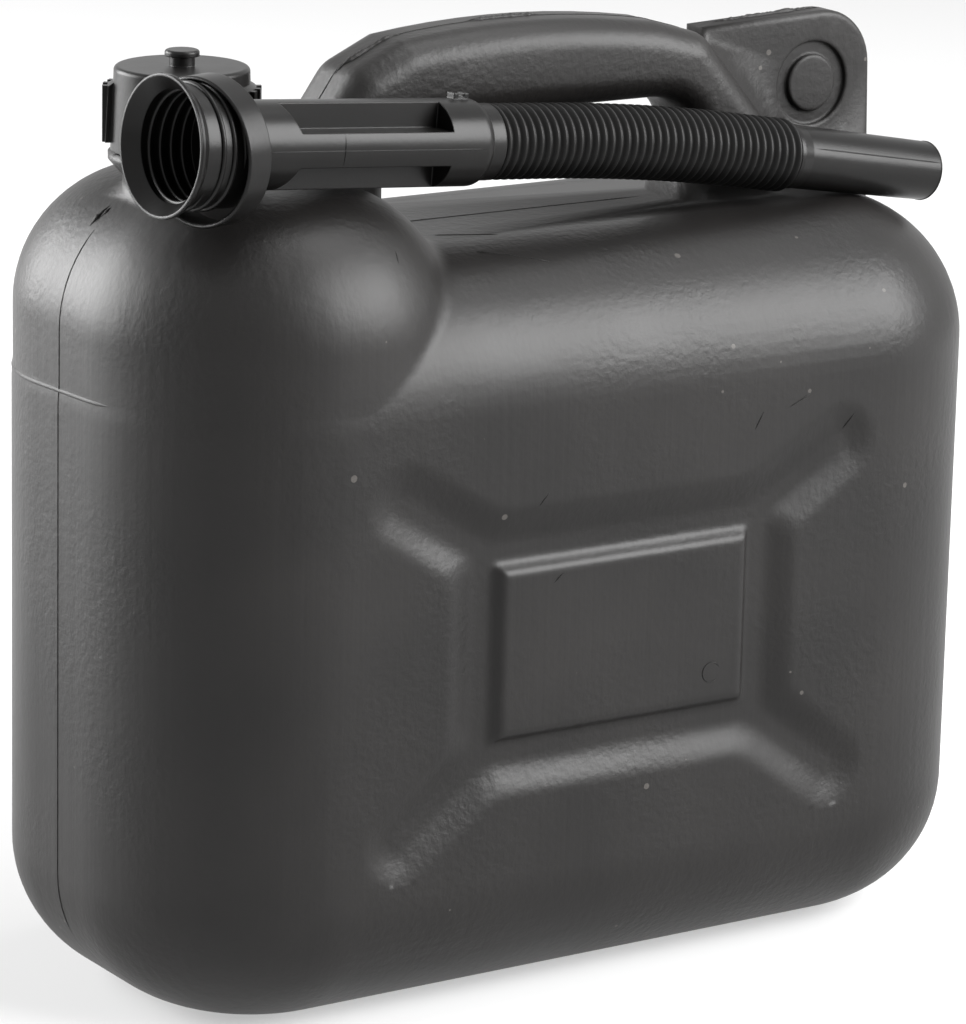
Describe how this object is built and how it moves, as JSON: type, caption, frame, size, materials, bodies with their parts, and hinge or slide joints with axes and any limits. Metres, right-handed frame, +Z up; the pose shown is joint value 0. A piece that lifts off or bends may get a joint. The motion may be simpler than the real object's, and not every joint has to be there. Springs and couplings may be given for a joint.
{
  "type": "fuel can",
  "caption": "Black five-litre blow-moulded fuel can with carry handle, lug, screw cap and a ribbed flexible pouring spout stowed along the handle.",
  "frame": {"origin": "middle of the base face, on the floor", "axes": "+X along the can towards the lug, -Y towards the front face with the stowed spout, +Z up"},
  "size_m": [0.252, 0.119, 0.238],
  "materials": {
    "shell": "satin",
    "cap": "satin",
    "seal": "matte",
    "spout": "satin",
    "hose": "matte"
  },
  "bodies": {
    "can": {"can_body": "shell"},
    "seal": {"cap_seal": "seal"},
    "cap": {"cap": "cap"},
    "spout": {"spout_body": "spout", "spout_hose": "hose"},
    "outlet": {"spout_outlet": "spout"},
    "ring": {"spout_ring": "spout"}
  },
  "joints": [
    {"name": "cap_lift", "type": "slide", "parent": "can", "child": "seal", "axis": [0, 0, 1], "range_m": [0, 0.01]},
    {"name": "cap_turn", "type": "hinge", "parent": "seal", "child": "cap", "pos_m": [-0.0924, 0, 0.2124], "axis": [0, 0, 1], "range_deg": [0, 900]},
    {"name": "spout_lift", "type": "slide", "parent": "can", "child": "spout", "axis": [0, 0, 1], "range_m": [0, 0.06]},
    {"name": "spout_bend", "type": "hinge", "parent": "spout", "child": "outlet", "pos_m": [0.02312, -0.02539, 0.20844], "axis": [0.0705, -0.9975, 0], "range_deg": [0, 75], "deforming": ["spout_hose"]},
    {"name": "ring_spin", "type": "hinge", "parent": "spout", "child": "ring", "pos_m": [-0.10568, -0.03449, 0.2189], "axis": [0.9659, 0.2588, 0], "continuous": true}
  ],
  "couplings": [
    {"joint": "cap_turn", "follows": "cap_lift", "rad_per_m": 1570.8}
  ]
}
